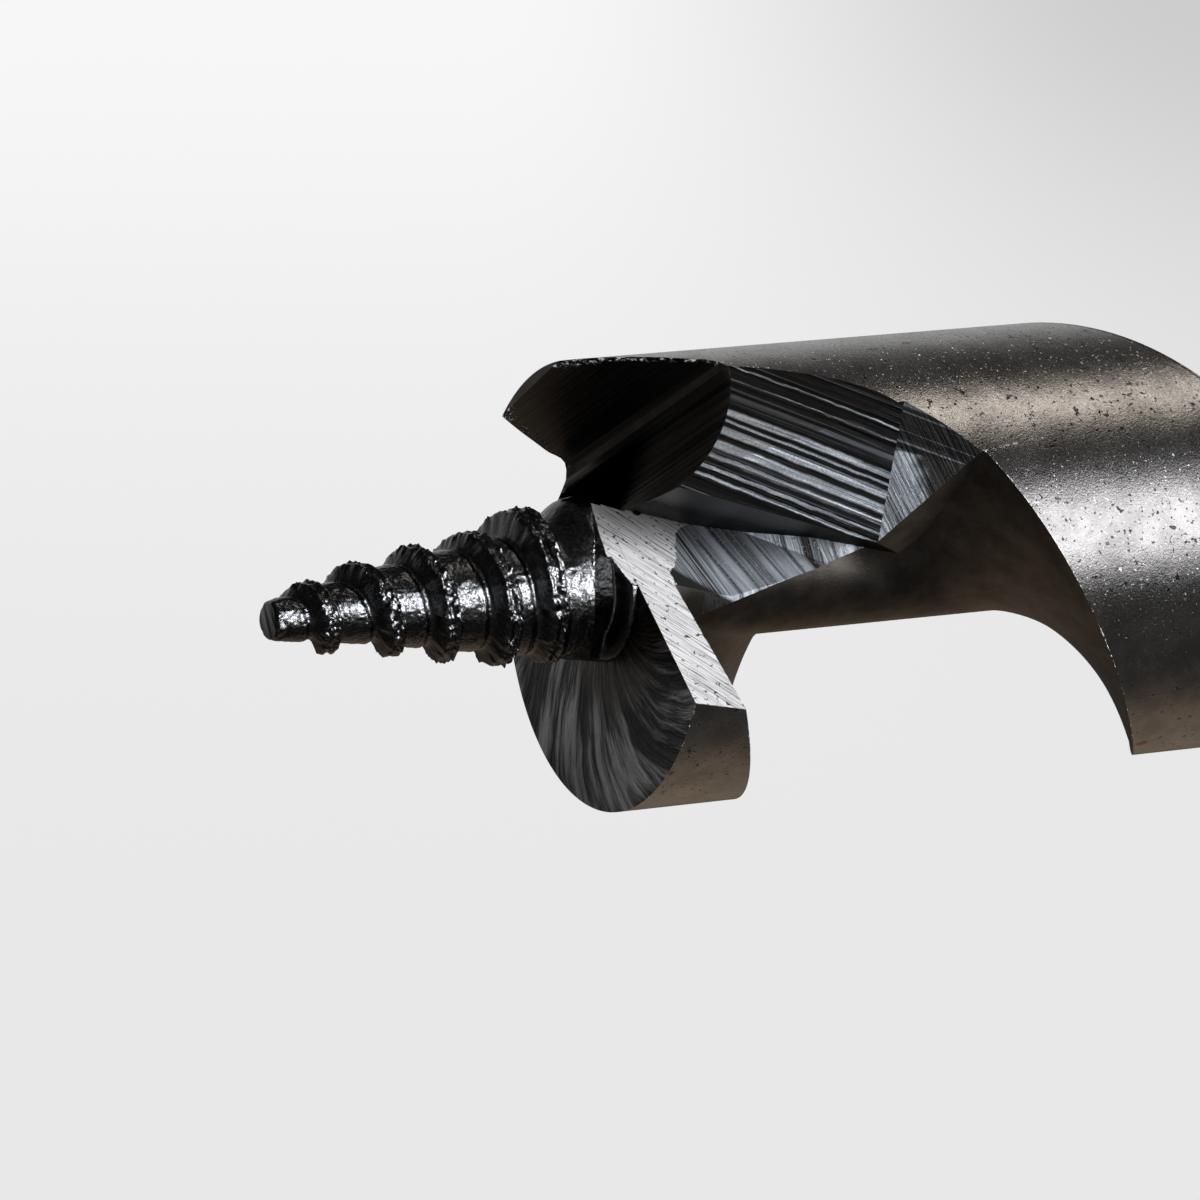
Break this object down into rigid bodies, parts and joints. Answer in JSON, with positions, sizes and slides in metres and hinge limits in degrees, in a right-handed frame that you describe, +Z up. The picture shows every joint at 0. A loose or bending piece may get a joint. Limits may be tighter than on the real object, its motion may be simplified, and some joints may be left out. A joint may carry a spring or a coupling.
{
  "type": "auger drill bit",
  "caption": "Wood auger bit with a tapered lead screw, a cutting lip, a scoring spur, a wide twisted land around a thin core and a hexagonal shank.",
  "frame": {"origin": "middle of the bit's length, straight under its axis, at the level of the surface it lies on", "axes": "+X along the bit from the screw tip to the shank end, +Z up, the axis lies 10 mm above the origin"},
  "size_m": [0.235, 0.0199, 0.02],
  "materials": {
    "steel": "ground and worn satin steel"
  },
  "bodies": {
    "root": {"auger_bit": "steel"}
  },
  "joints": []
}
